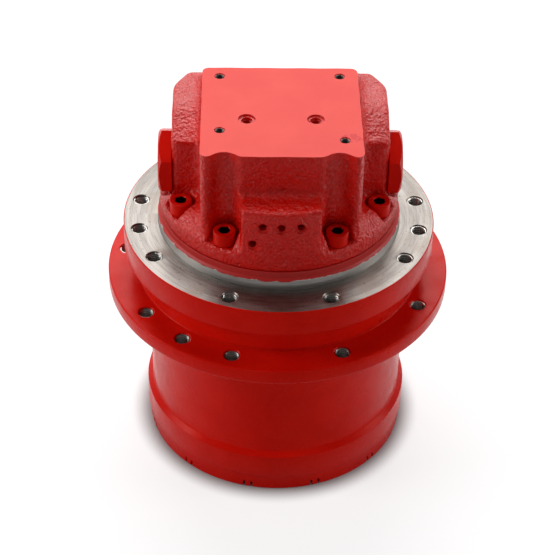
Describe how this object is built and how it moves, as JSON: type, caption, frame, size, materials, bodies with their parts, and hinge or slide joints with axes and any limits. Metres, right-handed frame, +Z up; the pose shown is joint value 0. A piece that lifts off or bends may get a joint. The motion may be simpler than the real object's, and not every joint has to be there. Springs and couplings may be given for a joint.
{
  "type": "excavator final drive",
  "caption": "Compact track drive: an axial piston motor in a fixed spindle hub, with a two stage planetary reduction in a flanged drum that turns round it.",
  "frame": {"origin": "middle of the drum's lower rim, at the end cover side", "axes": "+Z up along the spin axis towards the motor, +X across the valve plugs, -Y towards the front pad of the motor cover"},
  "size_m": [0.2576, 0.2576, 0.2832],
  "materials": {
    "machined_paint": "gloss red paint on machined steel",
    "cast_paint": "gloss red paint on a sand casting",
    "ground_steel": "ground",
    "hardened_steel": "hardened and ground",
    "bearing_bronze": "turned",
    "seal_rubber": "moulded"
  },
  "bodies": {
    "frame_side": {"spindle_hub": "ground_steel", "motor_cover": "cast_paint", "motor_cover_seal_ring": "seal_rubber", "left_hex_plug": "machined_paint", "right_hex_plug": "machined_paint", "left_spool_spring": "hardened_steel", "right_spool_spring": "hardened_steel", "cover_screw_1": "machined_paint", "cover_screw_2": "machined_paint", "cover_screw_3": "machined_paint", "cover_screw_4": "machined_paint", "cover_screw_5": "machined_paint", "cover_screw_6": "machined_paint", "cover_screw_7": "machined_paint", "valve_plate": "bearing_bronze", "cylinder_block": "hardened_steel", "piston_1": "hardened_steel", "piston_2": "hardened_steel", "piston_3": "hardened_steel", "piston_4": "hardened_steel", "piston_5": "hardened_steel", "piston_6": "hardened_steel", "piston_7": "hardened_steel", "shoe_retainer_plate": "hardened_steel", "swash_plate": "hardened_steel", "brake_disc_spring": "hardened_steel", "brake_friction_plate": "bearing_bronze", "brake_separator_plate": "hardened_steel", "shaft_lower_bearing": "hardened_steel", "shaft_upper_bearing": "hardened_steel", "shaft_oil_seal": "seal_rubber", "lower_bearing_inner_race": "hardened_steel", "upper_bearing_inner_race": "hardened_steel", "bearing_nut": "hardened_steel", "fixed_seal_ring": "hardened_steel", "fixed_toric_ring": "seal_rubber", "planet_2_pin_a": "hardened_steel", "planet_2_pin_b": "hardened_steel", "planet_2_pin_c": "hardened_steel"},
    "drum": {"drum_housing": "machined_paint", "end_cover": "machined_paint", "end_cover_seal_ring": "seal_rubber", "fill_plug": "hardened_steel", "drain_plug": "hardened_steel", "lower_bearing_outer_race": "hardened_steel", "upper_bearing_outer_race": "hardened_steel", "turning_seal_ring": "hardened_steel", "turning_toric_ring": "seal_rubber"},
    "first_stage_carrier": {"carrier_1": "hardened_steel", "sun_gear_2": "hardened_steel"},
    "second_stage_planet_a": {"planet_2_a": "hardened_steel"},
    "second_stage_planet_b": {"planet_2_b": "hardened_steel"},
    "second_stage_planet_c": {"planet_2_c": "hardened_steel"},
    "first_stage_planet_a": {"planet_1_a": "hardened_steel"},
    "first_stage_planet_b": {"planet_1_b": "hardened_steel"},
    "first_stage_planet_c": {"planet_1_c": "hardened_steel"},
    "motor_shaft": {"motor_shaft_with_sun_1": "hardened_steel"},
    "spool": {"counterbalance_spool": "hardened_steel"},
    "brake_ring": {"brake_piston": "hardened_steel"}
  },
  "joints": [
    {"name": "drum_spin", "type": "hinge", "parent": "frame_side", "child": "drum", "pos_m": [0, 0, 0], "axis": [0, 0, 1], "continuous": true},
    {"name": "carrier_1_spin", "type": "hinge", "parent": "frame_side", "child": "first_stage_carrier", "pos_m": [0, 0, 0.0425], "axis": [0, 0, 1], "continuous": true},
    {"name": "planet_2_a_spin", "type": "hinge", "parent": "frame_side", "child": "second_stage_planet_a", "pos_m": [0.04875, 0, 0.06275], "axis": [0, 0, 1], "continuous": true},
    {"name": "planet_2_b_spin", "type": "hinge", "parent": "frame_side", "child": "second_stage_planet_b", "pos_m": [-0.02438, 0.04222, 0.06275], "axis": [0, 0, 1], "continuous": true},
    {"name": "planet_2_c_spin", "type": "hinge", "parent": "frame_side", "child": "second_stage_planet_c", "pos_m": [-0.02438, -0.04222, 0.06275], "axis": [0, 0, 1], "continuous": true},
    {"name": "planet_1_a_spin", "type": "hinge", "parent": "first_stage_carrier", "child": "first_stage_planet_a", "pos_m": [0.045, 0, 0.0265], "axis": [0, 0, 1], "continuous": true},
    {"name": "planet_1_b_spin", "type": "hinge", "parent": "first_stage_carrier", "child": "first_stage_planet_b", "pos_m": [-0.0225, 0.03897, 0.0265], "axis": [0, 0, 1], "continuous": true},
    {"name": "planet_1_c_spin", "type": "hinge", "parent": "first_stage_carrier", "child": "first_stage_planet_c", "pos_m": [-0.0225, -0.03897, 0.0265], "axis": [0, 0, 1], "continuous": true},
    {"name": "shaft_spin", "type": "hinge", "parent": "frame_side", "child": "motor_shaft", "pos_m": [0, 0, 0.1], "axis": [0, 0, 1], "continuous": true},
    {"name": "spool_slide", "type": "slide", "parent": "frame_side", "child": "spool", "axis": [1, 0, 0], "range_m": [-0.005, 0.005], "deforming": ["left_spool_spring", "right_spool_spring"]},
    {"name": "brake_release", "type": "slide", "parent": "frame_side", "child": "brake_ring", "axis": [0, 0, 1], "range_m": [0, 0.0012], "deforming": ["brake_disc_spring"]}
  ],
  "couplings": [
    {"joint": "carrier_1_spin", "follows": "drum_spin", "ratio": -3.3333},
    {"joint": "planet_2_a_spin", "follows": "drum_spin", "ratio": 2.8571},
    {"joint": "planet_2_b_spin", "follows": "drum_spin", "ratio": 2.8571},
    {"joint": "planet_2_c_spin", "follows": "drum_spin", "ratio": 2.8571},
    {"joint": "planet_1_a_spin", "follows": "drum_spin", "ratio": 10.833},
    {"joint": "planet_1_b_spin", "follows": "drum_spin", "ratio": 10.833},
    {"joint": "planet_1_c_spin", "follows": "drum_spin", "ratio": 10.833},
    {"joint": "shaft_spin", "follows": "drum_spin", "ratio": -25}
  ]
}
